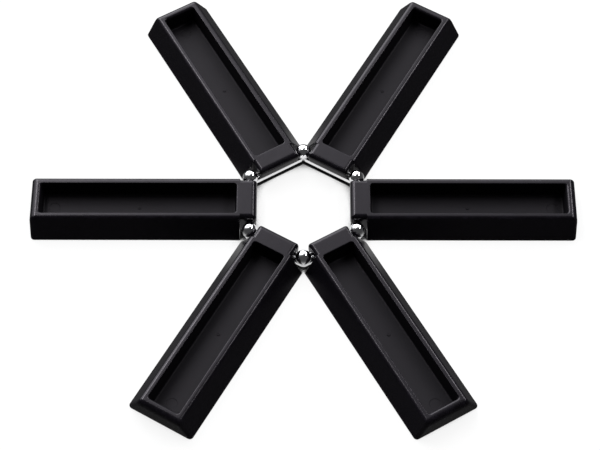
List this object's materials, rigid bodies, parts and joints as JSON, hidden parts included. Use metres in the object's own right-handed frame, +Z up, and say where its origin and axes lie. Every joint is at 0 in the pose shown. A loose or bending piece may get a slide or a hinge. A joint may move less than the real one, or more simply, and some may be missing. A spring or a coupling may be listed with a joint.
{
  "type": "folding trivet",
  "caption": "Star-shaped table trivet: trough-shaped plastic arms hinge up on pins round a hexagonal metal hub and close into a compact six-sided bundle.",
  "frame": {"origin": "centre of the hexagonal hub, on the plane that the open trivet stands on", "axes": "+Z up from the table through the hub's centre, +X along arm 1, arms numbered anticlockwise seen from above"},
  "size_m": [0.2326, 0.2156, 0.01],
  "materials": {
    "black_plastic": "semi-gloss black moulding with a fine grain",
    "chrome": "bright plated",
    "steel": "plain drawn steel",
    "black_rubber": "matt black rubber"
  },
  "bodies": {
    "hub": {"hub_ring": "chrome", "foot_ring": "black_rubber", "corner_knuckle_1": "chrome", "corner_knuckle_2": "chrome", "corner_knuckle_3": "chrome", "corner_knuckle_4": "chrome", "corner_knuckle_5": "chrome", "corner_knuckle_6": "chrome", "knuckle_screw_1": "steel", "knuckle_screw_2": "steel", "knuckle_screw_3": "steel", "knuckle_screw_4": "steel", "knuckle_screw_5": "steel", "knuckle_screw_6": "steel", "hinge_pin_1": "steel", "hinge_pin_2": "steel", "hinge_pin_3": "steel", "hinge_pin_4": "steel", "hinge_pin_5": "steel", "hinge_pin_6": "steel"},
    "arm_1": {"arm_1": "black_plastic"},
    "arm_2": {"arm_2": "black_plastic"},
    "arm_3": {"arm_3": "black_plastic"},
    "arm_4": {"arm_4": "black_plastic"},
    "arm_5": {"arm_5": "black_plastic"},
    "arm_6": {"arm_6": "black_plastic"}
  },
  "joints": [
    {"name": "arm_1_fold", "type": "hinge", "parent": "hub", "child": "arm_1", "pos_m": [0.02286, 0, 0.0053], "axis": [0, -1, 0], "range_deg": [0, 90]},
    {"name": "arm_2_fold", "type": "hinge", "parent": "hub", "child": "arm_2", "pos_m": [0.01143, 0.0198, 0.0053], "axis": [0.866, -0.5, 0], "range_deg": [0, 90]},
    {"name": "arm_3_fold", "type": "hinge", "parent": "hub", "child": "arm_3", "pos_m": [-0.01143, 0.0198, 0.0053], "axis": [0.866, 0.5, 0], "range_deg": [0, 90]},
    {"name": "arm_4_fold", "type": "hinge", "parent": "hub", "child": "arm_4", "pos_m": [-0.02286, 0, 0.0053], "axis": [0, 1, 0], "range_deg": [0, 90]},
    {"name": "arm_5_fold", "type": "hinge", "parent": "hub", "child": "arm_5", "pos_m": [-0.01143, -0.0198, 0.0053], "axis": [-0.866, 0.5, 0], "range_deg": [0, 90]},
    {"name": "arm_6_fold", "type": "hinge", "parent": "hub", "child": "arm_6", "pos_m": [0.01143, -0.0198, 0.0053], "axis": [-0.866, -0.5, 0], "range_deg": [0, 90]}
  ]
}
